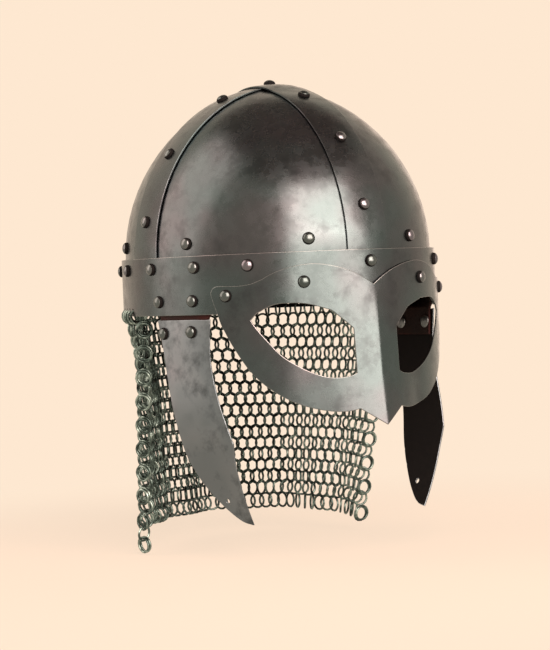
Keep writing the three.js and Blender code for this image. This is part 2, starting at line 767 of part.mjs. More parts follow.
const half_strap = strap_width / 2;
const lateral_box = block(
  new THREE.Vector3(-skull_reach, -half_strap, -skull_reach), new THREE.Vector3(skull_reach, half_strap, skull_reach),
);
const lengthwise_box = block(
  new THREE.Vector3(-half_strap, -skull_reach, -skull_reach), new THREE.Vector3(half_strap, skull_reach, skull_reach),
);
const crossing_lift = (climb) => layer * THREE.MathUtils.smoothstep(climb, crossing_start, crossing_end);
addPiece("lateral_strap", drilled(domeShell(strap_layer, skull_climbs).intersect(lateral_box)), "steel");
addPiece("front_to_back_strap", drilled(
  domeShell(strap_layer, crossing_climbs, crossing_lift).intersect(lengthwise_box),
), "steel");

// The band is cut back behind the mask's eyes
const recess = maskPrism(smoothLine(eye_brow_shares, recess_line_steps), [], eye_recess);
let brow_band = drilled(wallRing(band_layer, 0, brow_height), "brow_band");
for (const cut of [recess, mirrored(recess), ...rimHoles()]) brow_band = brow_band.subtract(cut);
addPiece("brow_band", brow_band, "steel");

const mask_right = maskHalf();
addPiece("spectacle_mask", drilled(mask_right.add(mirrored(mask_right))), "steel");

const hinged_pieces = [
  { name: "cheek_plate", solid: cheekPlate(), finish: "steel", hangs: true },
  { name: "hinge_leather_upper", solid: upperTab(), finish: "leather", hangs: false },
  { name: "hinge_leather_lower", solid: lowerTab(), finish: "leather", hangs: true },
];
for (const { name, solid, finish, hangs } of hinged_pieces) {
  const left = mirrored(solid);
  addPiece(`${name}_right`, drilled(solid), finish);
  addPiece(`${name}_left`, drilled(hangs ? left.transform([...left_hang.elements]) : left), finish);
}

addPiece("aventail", aventail(), "mail_steel");
addPiece("liner", drilled(liner()), "leather");
addPiece("crown_pad", crownPad(), "leather");
for (const { name, solid, joined } of rivets) {
  if (!joined) addPiece(name, solid, "bright_steel");
}

export default helmet;
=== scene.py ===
# %% [markdown]
# # A riveted helmet with a spectacle mask, cheek plates and a mail aventail
#
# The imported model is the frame. It holds every plate, rivet and hinge line at its real size, with
# flat facets. Here each piece is made again with smooth curves and worn metal, in the same place.
# Sizes are millimetres times `mm`, because Blender's unit here is the metre.

from math import acos, asin, atan2, cos, degrees, exp, hypot, pi, radians, sin, sqrt
import bmesh
import bpy
from mathutils import Matrix, Quaternion, Vector


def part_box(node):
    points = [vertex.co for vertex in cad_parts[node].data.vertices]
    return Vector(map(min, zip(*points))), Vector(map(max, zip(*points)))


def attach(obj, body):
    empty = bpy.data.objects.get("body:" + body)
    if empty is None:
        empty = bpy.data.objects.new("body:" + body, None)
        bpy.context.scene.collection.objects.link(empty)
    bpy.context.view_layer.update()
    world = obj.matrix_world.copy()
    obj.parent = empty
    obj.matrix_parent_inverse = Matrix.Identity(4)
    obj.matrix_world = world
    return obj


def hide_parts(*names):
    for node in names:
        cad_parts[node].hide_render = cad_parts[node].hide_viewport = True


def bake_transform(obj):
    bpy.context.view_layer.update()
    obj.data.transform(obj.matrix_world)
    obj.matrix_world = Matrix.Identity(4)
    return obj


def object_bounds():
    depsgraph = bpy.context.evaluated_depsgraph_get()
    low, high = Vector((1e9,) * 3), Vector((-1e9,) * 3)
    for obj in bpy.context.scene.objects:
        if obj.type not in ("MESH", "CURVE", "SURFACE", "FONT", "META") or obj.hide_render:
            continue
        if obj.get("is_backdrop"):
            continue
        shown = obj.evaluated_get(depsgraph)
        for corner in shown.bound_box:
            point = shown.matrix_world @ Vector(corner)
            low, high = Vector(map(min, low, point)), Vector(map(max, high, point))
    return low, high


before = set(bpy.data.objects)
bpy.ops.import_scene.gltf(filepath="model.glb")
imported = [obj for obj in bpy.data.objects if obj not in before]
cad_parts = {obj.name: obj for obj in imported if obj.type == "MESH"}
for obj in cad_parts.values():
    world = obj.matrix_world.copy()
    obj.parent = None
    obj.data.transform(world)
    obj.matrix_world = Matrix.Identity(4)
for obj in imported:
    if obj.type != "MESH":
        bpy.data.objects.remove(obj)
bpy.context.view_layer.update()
mm = 0.001
up = Vector((0, 0, 1))

# %% [markdown]
# ## Camera
#
# The photograph was taken from about 31 degrees to the wearer's right of the front, almost level.
# A long lens from 1.5 m keeps the dome's outline nearly parallel. The camera leans by two degrees.

# %% Camera
def stand(name, data, place, turned):
    """A camera or a lamp at its place."""
    thing = bpy.data.objects.new(name, data)
    thing.location = place
    thing.rotation_mode = "QUATERNION"
    thing.rotation_quaternion = turned
    bpy.context.collection.objects.link(thing)
    return thing


camera_place = Vector((-765.8, -1289.7, 22.4)) * mm
camera_aim = Vector((-2.6, 1.6, -10.9)) * mm
camera_roll = radians(-2.33)

camera_data = bpy.data.cameras.new("camera")
camera_data.lens = 114.1
camera_data.sensor_width = 36
aimed = (camera_aim - camera_place).to_track_quat("-Z", "Y") @ Quaternion((0, 0, 1), camera_roll)
bpy.context.scene.camera = stand("camera", camera_data, camera_place, aimed)
print("camera", round((camera_place - camera_aim).length, 3), "m from its aim")

# %% [markdown]
# ## Colours and nodes
#
# Colours are written as on a paint card, in sRGB hex, and turned to linear light by one function.
# One small function adds a shader node with its settings, and another sets or links its inputs.


# %% Colour and node helpers
def paint(code):
    """An sRGB hex colour such as "4d5350" as linear light."""
    shades = [int(code[i : i + 2], 16) / 255 for i in (0, 2, 4)]
    return [s / 12.92 if s <= 0.04045 else ((s + 0.055) / 1.055) ** 2.4 for s in shades] + [1]


def feed(node, inputs):
    """Links each input that is given a socket, and sets each one that is given a value."""
    for key, value in inputs.items():
        if isinstance(value, bpy.types.NodeSocket):
            node.id_data.links.new(value, node.inputs[key])
        else:
            node.inputs[key].default_value = value


def add(tree, kind, inputs=None, **settings):
    """One shader node with its settings and its inputs."""
    node = tree.nodes.new("ShaderNode" + kind)
    for key, value in settings.items():
        setattr(node, key, value)
    feed(node, inputs or {})
    return node


def ramp(tree, factor, stops):
    """A colour ramp through (place, colour code) stops."""
    node = add(tree, "ValToRGB", {"Fac": factor})
    while len(node.color_ramp.elements) < len(stops):
        node.color_ramp.elements.new(1)
    for element, (place, code) in zip(node.color_ramp.elements, stops):
        element.position = place
        element.color = paint(code)
    return node.outputs["Color"]


def remap(tree, value, source, target=(0, 1), **settings):
    """A value carried over from one range to another, and held within it."""
    ends = dict(zip(("From Min", "From Max", "To Min", "To Max"), (*source, *target)))
    return add(tree, "MapRange", {"Value": value, **ends}, **settings).outputs["Result"]


def bumped(tree, height, strength, distance, **under):
    """The surface's normal bent by a height, over the Normal under it, if one is given."""
    bump = {"Height": height, "Strength": strength, "Distance": distance, **under}
    return add(tree, "Bump", bump).outputs["Normal"]


def empty_tree(owner):
    """The node tree of a material or a world, cleared."""
    owner.use_nodes = True
    owner.node_tree.nodes.clear()
    return owner.node_tree


def new_material(name):
    """A material whose Principled shader is linked to its output."""
    material = bpy.data.materials.new(name)
    tree = empty_tree(material)
    shader = add(tree, "BsdfPrincipled")
    add(tree, "OutputMaterial", {"Surface": shader.outputs["BSDF"]})
    return material, tree, shader


def noise(tree, place, grain, detail, roughness=0.55, stretch=(1, 1, 1)):
    """Noise whose features are about grain metres across, stretched along an axis if asked."""
    place = add(tree, "Mapping", {"Vector": place, "Scale": stretch}).outputs["Vector"]
    settings = {"Vector": place, "Scale": 1 / grain, "Detail": detail, "Roughness": roughness}
    return add(tree, "TexNoise", settings).outputs["Fac"]


def place_of(tree):
    return add(tree, "TexCoord").outputs["Object"]


# %% [markdown]
# ## Oil-darkened steel
#
# The plates are mild steel sheet, polished and then darkened in hot oil: a soft gloss with slow patches
# of green and purple, a few dark smudges and hair-fine scratches. A metal's colour is that of its
# reflections, and a dark one mirrors the room at a tenth of its light. 60 mm noise tints it by the uneven
# heat, 9 mm noise smudges it where a slower 32 mm noise let the rag rub, and shallow dents 38 mm wide
# bend the highlights. Inside, black mill scale is nearly matte, and its colour is made near black, darker
# than real scale, as painted shade of the helmet's inside. The same finish is painted round each rivet's
# foot as shade. A filed rim is bare and brighter. The cheek plates were brushed after the oil, so they
# are lighter. Each finish lists outer face, rim and inner face.


# %% Steel finishes
def polished_steel(name, tints, smudge, gloss, dirt):
    """tints: green, plain and purple. gloss: its roughness range. dirt: how strong the smudges get."""
    material, tree, shader = new_material(name)
    place = place_of(tree)
    heat = noise(tree, place, 60 * mm, detail=2)
    rag = noise(tree, place, 9 * mm, detail=6, roughness=0.65)
    rubbed = noise(tree, place, 32 * mm, detail=3)
    both = add(tree, "Math", {0: rag, 1: rubbed}, operation="MULTIPLY").outputs[0]
    colours = {
        "Factor": remap(tree, both, (0.24, 0.42), (0, dirt)),
        "A": ramp(tree, heat, list(zip((0.38, 0.5, 0.62), tints))),
        "B": paint(smudge),
    }
    dents = bumped(tree, noise(tree, place, 38 * mm, detail=0), 0.35, 0.8 * mm)
    hairs = noise(tree, place, 3 * mm, detail=2, stretch=(2.6, 2.6, 0.25))
    feed(shader, {
        "Base Color": add(tree, "Mix", colours, data_type="RGBA").outputs["Result"],
        "Roughness": remap(tree, rag, (0.35, 0.65), gloss),
        "Metallic": 1,
        "Normal": bumped(tree, hairs, 0.1, 0.03 * mm, Normal=dents),
    })
    return material


# Black mill scale made darker than real scale: painted shade for the inner faces and round each rivet's
# foot.
def mill_scale_and_painted_shade():
    material, tree, shader = new_material("black_mill_scale_and_painted_shade")
    grain = noise(tree, place_of(tree), 4 * mm, detail=5)
    feed(shader, {
        "Base Color": ramp(tree, grain, [(0.3, "070708"), (0.7, "0f0e0e")]),
        "Roughness": remap(tree, grain, (0, 1), (0.7, 0.9)),
        "Specular IOR Level": 0.12,
        "Normal": bumped(tree, grain, 0.3, 0.1 * mm),
    })
    return material


steels = [
    polished_steel("oil_darkened_steel", ("495658", "4b5457", "505357"), "34383b", (0.2, 0.34), 0.6),
    polished_steel("brushed_cheek_steel", ("667177", "6f797f", "767b82"), "3f474b", (0.28, 0.42), 0.9),
    polished_steel("filed_steel_edge", ("6b7374", "777d7e", "807f82"), "565c5e", (0.3, 0.42), 0.5),
    polished_steel("domed_rivet_steel", ("4c5757", "626a6b", "6f6d75"), "2c3032", (0.2, 0.3), 0.5),
]
plate_steel, brushed_steel, edge_steel, rivet_steel = steels
# The inside finish: real black scale, made darker as painted shade of the helmet's inside.
scale_and_painted_shade = mill_scale_and_painted_shade()
sheet_finish = [plate_steel, edge_steel, scale_and_painted_shade]
strap_finish = [plate_steel, plate_steel, scale_and_painted_shade]
cheek_finish = [brushed_steel, brushed_steel, scale_and_painted_shade]
print("steel finishes:", *(steel.name for steel in steels + [scale_and_painted_shade]))

# %% [markdown]
# ## Mail wire
#
# The rings are drawn steel wire, dipped in oil: satin, grey with a cast of green, and dirty where rings
# rub. The wire is too thin to show grain, so one noise of 6 mm varies ring from ring. Towards both front
# edges the rings are painted brighter, a painted highlight like the light that the near edge catches.


# %% Mail finish
def oiled_wire():
    material, tree, shader = new_material("oiled_steel_wire")
    place = place_of(tree)
    dirt = noise(tree, place, 6 * mm, detail=5)
    across = add(tree, "SeparateXYZ", {"Vector": place}).outputs["X"]
    from_middle = add(tree, "Math", {0: across}, operation="ABSOLUTE").outputs[0]
    # painted highlight: the rings grow brighter towards both front edges
    painted_edge_highlight = remap(tree, from_middle, (35 * mm, 90 * mm), (0, 0.13))
    bright = add(tree, "Math", {0: dirt, 1: painted_edge_highlight}).outputs[0]
    feed(shader, {
        "Base Color": ramp(tree, bright, [(0.42, "1a2120"), (0.62, "556763"), (0.76, "93a7a1")]),
        "Roughness": remap(tree, dirt, (0, 1), (0.48, 0.3)),
        "Metallic": 1,
    })
    return material


wire_steel = oiled_wire()
print("wire:", wire_steel.name)

# %% [markdown]
# ## Leather
#
# The hinges are thick veg-tanned leather dyed red-brown and painted nearly black, as the shade of the gap
# where they show. The liner is a thinner brown one. Leather is matte with a waxy sheen. The hinges' inner
# face, which shows through the far eye, is painted near black as the shade inside the helmet. The grain
# is a Voronoi cell pattern about 1.2 mm across, drawn twice as coarse as the real grain to show.


# %% Leather finishes
def dyed_leather(name, dark, light):
    material, tree, shader = new_material(name)
    place = place_of(tree)
    dye = noise(tree, place, 18 * mm, detail=5)
    cells = {"Vector": place, "Scale": 1 / (1.2 * mm)}
    creases = add(tree, "TexVoronoi", cells, feature="DISTANCE_TO_EDGE").outputs["Distance"]
    feed(shader, {
        "Base Color": ramp(tree, dye, [(0.3, dark), (0.7, light)]),
        "Roughness": remap(tree, dye, (0, 1), (0.5, 0.72)),
        "Specular IOR Level": 0.15,
        "Normal": bumped(tree, remap(tree, creases, (0, 0.2)), 0.5, 0.15 * mm),
    })
    return material


# hinge leather: its red-brown dye is painted nearly black, as the shade of the gap where it shows
hinge_hide_with_painted_shade = dyed_leather("red_brown_hinge_leather_with_painted_gap_shade", "120605", "280c09")
# inner face of the hinge leather: painted near black, as the shade inside the helmet
hinge_inner_painted_shade = dyed_leather("hinge_leather_inner_face_painted_shade", "0d0706", "1c0f0c")
liner_hide = dyed_leather("brown_liner_leather", "33200f", "5f4227")
print("leathers:", hinge_hide_with_painted_shade.name, hinge_inner_painted_shade.name, liner_hide.name)

# %% [markdown]
# ## The skull's shape
#
# The dome is a drawn-in ellipsoid, 210 by 241 mm inside at the brow and 119 mm high above the band.
# Two powers a little above 1 pull its girth and its rise in. `turn` is the angle from the front,
# growing to the wearer's right, `climb` the angle up the dome, and `out` the distance outward from
# the plates' inner face. The layers lie on each other like the real sheets: plates, straps, brow
# band, mask. On a flat sheet one degree of turn or climb is drawn 2 mm long.

# %% Sizes of the skull
half_width = 105 * mm
half_length = 120.3 * mm
crown_rise = 119 * mm
brow_height = 40.5 * mm
girth_power = 1.07
rise_power = 1.015
steel_sheet = 1.2 * mm
layer = 1.5 * mm
plate_out, strap_out, band_out, mask_out = 0.0, layer, 2 * layer, 3 * layer
skirt = 14 * mm
degree = 2 * mm


def turn_of(point):
    """The turn at which a point stands."""
    return degrees(atan2(-point.x / half_width, -point.y / half_length))


def climb_of(point):
    """The climb at which a point of the dome lies."""
    rise = min(max((point.z - brow_height) / crown_rise, 0), 1)
    return degrees(asin(rise ** (1 / rise_power)))


def outward(turn):
    """The level way out of the ellipse at a turn, not yet of length 1."""
    a = radians(turn)
    return Vector((-sin(a) / half_width, -cos(a) / half_length, 0))


def wall_normal(turn):
    return outward(turn).normalized()


def wall_point(turn, z, out):
    """A point of the upright wall below the dome."""
    a = radians(turn)
    foot = Vector((-half_width * sin(a), -half_length * cos(a), z))
    return foot + wall_normal(turn) * out


def dome_normal(turn, climb):
    s = radians(climb)
    return (outward(turn) * cos(s) + up * sin(s) / crown_rise).normalized()


def dome_point(turn, climb, out):
    """A point of the dome. A climb below 0 runs down the skirt."""
    if climb < 0:
        return wall_point(turn, brow_height + climb * degree, out)
    a, s = radians(turn), radians(climb)
    girth = max(cos(s), 0) ** girth_power
    height = brow_height + crown_rise * sin(s) ** rise_power
    foot = Vector((-half_width * girth * sin(a), -half_length * girth * cos(a), height))
    return foot + dome_normal(turn, climb) * out


print("crown at", round(dome_point(0, 90, steel_sheet).z / mm, 1), "mm")

# %% [markdown]
# ## Sheet metal, flat first
#
# A smith cuts each plate flat and then bends it, and so does this code. An outline is filled, cut
# across by straight lines so that it can bend, given its thickness, and its rim is filed round with
# a bevel. Only then does `bend` carry each point to its place. Normals are taken from the bent
# surface itself, so that long cells shine like one curve. Each corner's flat place stays as a UV map.


# %% Flat sheets
on_plane = 1e-6
same_place = 2e-6
shortest_edge = 0.45 * mm
normal_reach = 0.2 * mm
normal_inset = 0.04


def grow_flat(loops, cuts):
    """A flat sheet between an outline and its holes, cut along lines of constant u and of constant v."""
    bm = bmesh.new()
    for loop in loops:
        points = [bm.verts.new((u, v, 0)) for u, v in loop]
        for a, b in zip(points, points[1:] + points[:1]):
            bm.edges.new((a, b))
    bmesh.ops.triangle_fill(bm, use_beauty=True, use_dissolve=False, edges=bm.edges[:])
    for facing, places in zip((Vector((1, 0, 0)), Vector((0, 1, 0))), cuts):
        for place in places:
            bmesh.ops.bisect_plane(
                bm, geom=bm.verts[:] + bm.edges[:] + bm.faces[:], dist=on_plane,
                plane_co=facing * place, plane_no=facing,
            )

    def on_cut(edge, axis):
        a, b = (vert.co[axis] for vert in edge.verts)
        return abs(a - b) < same_place and any(abs(a - cut) < same_place for cut in cuts[axis])

    inner = [e for e in bm.edges if len(e.link_faces) == 2]
    stray = [e for e in inner if not on_cut(e, 0) and not on_cut(e, 1)]
    bmesh.ops.dissolve_edges(bm, edges=stray, use_verts=False, use_face_split=False)
    bmesh.ops.remove_doubles(bm, verts=bm.verts[:], dist=shortest_edge)
    for face in bm.faces:
        if face.normal.z < 0:
            face.normal_flip()
    return bm


def finish_flat(bm, thickness, rim, seam):
    """Thickens a flat sheet and files its rim round. seam is the u values that meet, if any do."""
    bm.normal_update()
    bmesh.ops.solidify(bm, geom=bm.faces[:], thickness=thickness)
    lowest = min(v.co.z for v in bm.verts)
    bmesh.ops.translate(bm, vec=(0, 0, -lowest), verts=bm.verts[:])
    bm.normal_update()
    shut = [f for f in bm.faces for end in seam if all(abs(v.co.x - end) < same_place for v in f.verts)]
    bmesh.ops.delete(bm, geom=shut, context="FACES")
    side = bm.faces.layers.int.new("side")
    for face in bm.faces:
        face[side] = round(face.normal.z)
        face.material_index = 2 if face[side] < 0 else 0
    inner = [e for e in bm.edges if len(e.link_faces) == 2]
    corners = [e for e in inner if sum(not f[side] for f in e.link_faces) == 1]
    filed = bmesh.ops.bevel(
        bm, geom=corners, offset=rim, offset_type="OFFSET", segments=2, profile=0.5,
        affect="EDGES", material=-1, clamp_overlap=False,
    )
    for face in filed["faces"]:
        face[side] = 0
        face.material_index = 1 if face.calc_center_median().z > thickness / 2 else 0


def bend_flat(bm, bend):
    """Carries every point of a finished flat sheet to its place, and keeps its flat place as a UV map."""
    flat = bm.loops.layers.uv.new("Flat")
    bm.normal_update()
    for face in bm.faces:
        for corner in face.loops:
            corner[flat].uv = corner.vert.co.xy
    for vert in bm.verts:
        vert.co = bend(*vert.co)
    bmesh.ops.remove_doubles(bm, verts=bm.verts[:], dist=same_place)


def bent_normals(mesh, bend, thickness):
    """Corner normals from the bent surface, taken just inside each face so that a crease stays sharp."""
    flat, side = mesh.uv_layers["Flat"].data, mesh.attributes["side"].data
    normals = [None] * len(mesh.loops)
    for polygon in mesh.polygons:
        way = side[polygon.index].value
        middle = sum((flat[i].uv for i in polygon.loop_indices), Vector((0, 0))) / polygon.loop_total
        for i in polygon.loop_indices:
            if not way:
                normals[i] = polygon.normal.copy()
                continue
            u, v = flat[i].uv.lerp(middle, normal_inset)
            depth = thickness if way > 0 else 0
            across = bend(u + normal_reach, v, depth) - bend(u - normal_reach, v, depth)
            along = bend(u, v + normal_reach, depth) - bend(u, v - normal_reach, depth)
            normals[i] = across.cross(along).normalized() * way
    mesh.normals_split_custom_set(normals)
    mesh.attributes.remove(mesh.attributes["side"])


# %% Pieces
def mesh_from(bm, name, smooth=True):
    """A mesh from a finished bmesh, which is freed."""
    for face in bm.faces:
        face.smooth = smooth
    mesh = bpy.data.meshes.new(name)
    bm.to_mesh(mesh)
    bm.free()
    return mesh


def add_object(name, mesh, materials):
    """An object at the origin, with its materials."""
    for material in materials:
        mesh.materials.append(material)
    thing = bpy.data.objects.new(name, mesh)
    bpy.context.collection.objects.link(thing)
    return thing


def make_piece(mesh, materials, body, nodes):
    """A piece for its CAD nodes, in a slot's finish, that rides on a body, if there is one."""
    piece = add_object(mesh.name, mesh, materials)
    if body:
        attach(piece, body)
    if nodes:
        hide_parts(*nodes)
    return piece


def sheet_piece(
    name, loops, cuts, bend, nodes, thickness=steel_sheet, rim=0.4 * mm, materials=sheet_finish,
    body="root", seam=(),
):
    """A piece of sheet from its flat outline to its bent place, by default of the helmet's steel."""
    bm = grow_flat(loops, cuts)
    finish_flat(bm, thickness, rim, seam)
    bend_flat(bm, bend)
    if bm.calc_volume(signed=True) < 0:
        raise ValueError(name + " is inside out")
    mesh = mesh_from(bm, name)
    bent_normals(mesh, bend, thickness)
    return make_piece(mesh, materials, body, nodes)


def cut_lines(*span):
    """Cuts at whole degrees of a flat sheet, from, to and apart as in range."""
    return [a * degree for a in range(*span)]


def rectangle(u0, v0, u1, v1):
    return [(u0, v0), (u1, v0), (u1, v1), (u0, v1)]


# %% [markdown]
# ## Dome plates
#
# Four plates make the dome, each a quarter of it. Their edges meet under the straps. Flat, a plate
# is a rectangle of 90 degrees by 90 degrees with its skirt, and bending draws it to a point.

# %% Make the dome plates
quarters = {"front_right": 90, "rear_right": 180, "rear_left": 270, "front_left": 360}
seam_gap = 0.1 * degree
plate_outline = rectangle(seam_gap, -skirt, 90 * degree - seam_gap, 90 * degree)


def bend_plate(start):
    def bend(u, v, w):
        return dome_point(start - u / degree, v / degree, plate_out + w)

    return bend


for quarter, start in quarters.items():
    sheet_piece(
        "dome_" + quarter, [plate_outline], (cut_lines(5, 90, 5), cut_lines(0, 90, 5)),
        bend_plate(start), ["dome_plate_" + quarter], rim=0.3 * mm,
    )
print(len(quarters), "dome plates made")

# %% [markdown]
# ## Straps
#
# Two straps 31 mm wide hide the seams and cross at the crown, the front-to-back one on top. Each line
# across a strap is found on the dome: from a point of its middle line, the surface is met again where
# the strip's width takes it, by halving. A strip bent along its length stays nearly flat across, so
# its edges stand off the dome and break the highlight. Hammered down, they keep a fifth of that gap.

# %% Make the straps
half_strap = 15.5 * mm
dome_bow = 110 * mm
gap_left = 0.2
gap_opens, gap_closes, crossing_climbs = (2, 12), (64, 78), (70, 80)
nearest, farthest, halvings = -1 * mm, 4 * mm, 24


def smooth_step(value, low, high):
    """0 below low, 1 above high, and an even bend between."""
    t = min(max((value - low) / (high - low), 0), 1)
    return t * t * (3 - 2 * t)


def edge_stand_off(across, climb):
    """How far a strap stands off the round dome across its width, except at the band and the crown."""
    free = smooth_step(climb, *gap_opens) * (1 - smooth_step(climb, *gap_closes))
    return gap_left * across**2 / (2 * dome_bow) * free


def height_over_dome(point):
    """Below 0 inside the dome's surface, and above 0 outside it."""
    reach = hypot(point.x / half_width, point.y / half_length) ** (1 / girth_power)
    rise = max((point.z - brow_height) / crown_rise, 0) ** (1 / rise_power)
    return reach * reach + rise * rise - 1


def bend_strap(lateral):
    """The bend of the lateral strap, or else of the front-to-back one."""
    width_way = Vector((0, 1, 0)) if lateral else Vector((-1, 0, 0))
    long_way = Vector((-1, 0, 0)) if lateral else Vector((0, -1, 0))
    half_across, half_long = (half_length, half_width) if lateral else (half_width, half_length)

    def bend(u, v, w):
        angle = u / degree
        far = angle > 90
        climb = 180 - angle if far else angle
        way = -long_way if far else long_way
        if climb < 0:
            side = half_long * sqrt(1 - (v / half_across) ** 2)
            point = way * side + width_way * v + up * (brow_height + climb * degree)
            return point + wall_normal(turn_of(point)) * (strap_out + w)
        s = radians(climb)
        middle = way * (half_long * max(cos(s), 0) ** girth_power)
        middle = middle + up * (brow_height + crown_rise * sin(s) ** rise_power)
        inward = -(way * (cos(s) / half_long) + up * sin(s) / crown_rise).normalized()
        low, high = nearest, farthest
        for _ in range(halvings):
            half = (low + high) / 2
            outside = height_over_dome(middle + width_way * v + inward * half) > 0
            low, high = (half, high) if outside else (low, half)
        point = middle + width_way * v + inward * low
        climb = climb_of(point)
        crossing = 0 if lateral else layer * smooth_step(climb, *crossing_climbs)
        out = strap_out + w + edge_stand_off(v, climb) + crossing
        return point + dome_normal(turn_of(point), climb) * out

    return bend


strap_outline = rectangle(-skirt, -half_strap, 180 * degree + skirt, half_strap)
strap_cuts = cut_lines(0, 181, 3), [-half_strap / 2, 0, half_strap / 2]
for name in ("lateral", "front_to_back"):
    sheet_piece(
        name + "_band_over_dome", [strap_outline], strap_cuts, bend_strap(name == "lateral"),
        [name + "_strap"], rim=0.25 * mm, materials=strap_finish,
    )
print("straps made")

# %% [markdown]
# ## Brow band
#
# The band is a strip 40.5 mm high, bent to a ring round the skirt. Along the rear half of its lower
# rim is a row of 3 mm holes for the mail. The flat strip's two ends meet at the back of the head.

# %% [markdown]
# The mail hangs in a curve that starts as the rim's ellipse, closes in below it and grows flatter at
# its sides and back. `sweep` runs from -1 at the left front edge, round the back, to 1 at the right
# front edge, and `fall` from 0 at the top to 1 at the hem. It is needed here because the rim holes
# follow its columns. Lower down the columns move a little to the sides, and shallow folds form.

# %% Curve of the mail
mail_rise = 9 * mm
mail_drop = 163 * mm
mail_columns = 40
top_width, top_back = half_width + 0.9 * mm, half_length + 0.9 * mm
front_top, front_hem = 16 * mm, 46.5 * mm
edge_top, edge_hem = top_width * sqrt(1 - (front_top / top_back) ** 2), 94.7 * mm
back_hem = 110 * mm
flat_power, flat_from = 1.6, 0.4
side_drift = 0.15
fold_depth, fold_waves = 3 * mm, 5
left_sag = 12 * mm


def mix(a, b, t):
    return a + (b - a) * t


def mail_plan(sweep, fall):
    """The mail's curve as seen from above."""
    power = mix(2, flat_power, min(1, fall / flat_from))
    front, back = mix(front_top, front_hem, fall), mix(top_back, back_hem, fall)
    edge = mix(edge_top, edge_hem, fall)
    width = edge / (1 - (front / back) ** power) ** (1 / power)
    a = sweep * (1 + side_drift * fall * (1 - sweep * sweep)) * atan2(edge, front)
    across, rear = sin(a), cos(a)
    reach = (abs(across / width) ** power + (rear / back) ** power) ** (-1 / power)
    return Vector((-across * reach, rear * reach, 0))


def mail_point(sweep, z):
    """A point of the hanging mail at a height, with its shallow upright folds and its sag on the left."""
    fall = (mail_rise - z) / mail_drop
    along = mail_plan(sweep + 0.001, fall) - mail_plan(sweep - 0.001, fall)
    fold = fold_depth * fall * cos(pi * fold_waves * sweep)
    sag = left_sag * fall * max(0, -sweep) ** 3
    return mail_plan(sweep, fall) + up * (z - sag) + along.cross(up).normalized() * fold


# %% [markdown]
# The eyes of the mask reach up past the rim, so the smith cuts the band back behind them. The eye's
# upper line is drawn as shares of the mask's ear angle, and of its brow rise above the rim or its
# drop below it, and the band's cut runs 1.2 mm above that line.


# %% The eyes' upper line
def smooth_line(points, count):
    """count steps along a smooth curve through the points, both ends kept."""
    places = [Vector(p) for p in (points[0], *points, points[-1])]
    line = []
    for i in range(count + 1):
        whole = i / count * (len(points) - 1)
        k = min(int(whole), len(points) - 2)
        t = whole - k
        a, b, c, d = places[k : k + 4]
        curve = (c - a) * t + (2 * a - 5 * b + 4 * c - d) * t * t + (3 * b - a - 3 * c + d) * t**3
        line.append(b + curve / 2)
    return line


ear_angle = 57.2
brow_rise = 32.4 * mm
mask_drop = 78.2 * mm
eye_recess = 1.2 * mm
eye_top = [
    (0.759, -0.059), (0.6975, 0.037), (0.617, 0.1636), (0.519, 0.185), (0.423, 0.154),
    (0.325, 0.056), (0.229, -0.064), (0.1556, -0.16),
]


def mask_place(shares):
    """Shares of the ear angle, and of the brow rise above the rim or the drop below it, laid flat."""
    x, y = shares
    return (x * ear_angle * degree, y * (brow_rise if y > 0 else mask_drop))


def eye_arch():
    """The cut behind the right eye, from rim to rim, on the flat band."""
    line = [(180 * degree - u, v + eye_recess) for u, v in map(mask_place, smooth_line(eye_top, 40))]
    arch = []
    for (u0, v0), (u1, v1) in zip(line, line[1:]):
        if v0 * v1 < 0:
            arch.append((u0 + (u1 - u0) * v0 / (v0 - v1), 0))
        if v1 > 0:
            arch.append((u1, v1))
    return arch


# %% Make the brow band
rim_hole_radius = 1.5 * mm
rim_hole_height = 4.2 * mm
band_length = 360 * degree


def circle(u, v, radius, count):
    angles = [2 * pi * i / count for i in range(count)]
    return [(u + radius * cos(a), v + radius * sin(a)) for a in angles]


def hole_place(column):
    """Where a column of the mail hangs, along the flat band."""
    turn = turn_of(mail_point(-1 + (2 * column + 1) / mail_columns, 0))
    return (180 - turn) % 360 * degree


def bend_band(u, v, w):
    return wall_point(180 - u / degree, v, band_out + w)


hole_places = sorted(hole_place(column) for column in range(mail_columns))
right_arch = eye_arch()
left_arch = [(band_length - u, v) for u, v in reversed(right_arch)]
upper_corners = [(band_length, brow_height), (0, brow_height)]
loops = [[(0, 0)] + right_arch + left_arch + [(band_length, 0)] + upper_corners]
loops += [circle(u, rim_hole_height, rim_hole_radius, 12) for u in hole_places]
clear = 2 * rim_hole_radius
band_cuts = [c for c in cut_lines(5, 360, 5) if min(abs(c - u) for u in hole_places) > clear]
brow = sheet_piece(
    "brow_ring", loops, (band_cuts + hole_places, [rim_hole_height, 14 * mm]), bend_band,
    ["brow_band"], seam=(0, band_length),
)
print("brow band with", len(hole_places), "rim holes,", len(brow.data.polygons), "faces")

# %% [markdown]
# ## Spectacle mask
#
# One sheet makes both eye rings and the nose. It is riveted over the band at the brows and ears and
# runs down past the rim, where it leans forward to a ridge along the nose. The outline is a smooth
# curve through measured places: shares of the ear angle, and of the brow rise or of the drop.


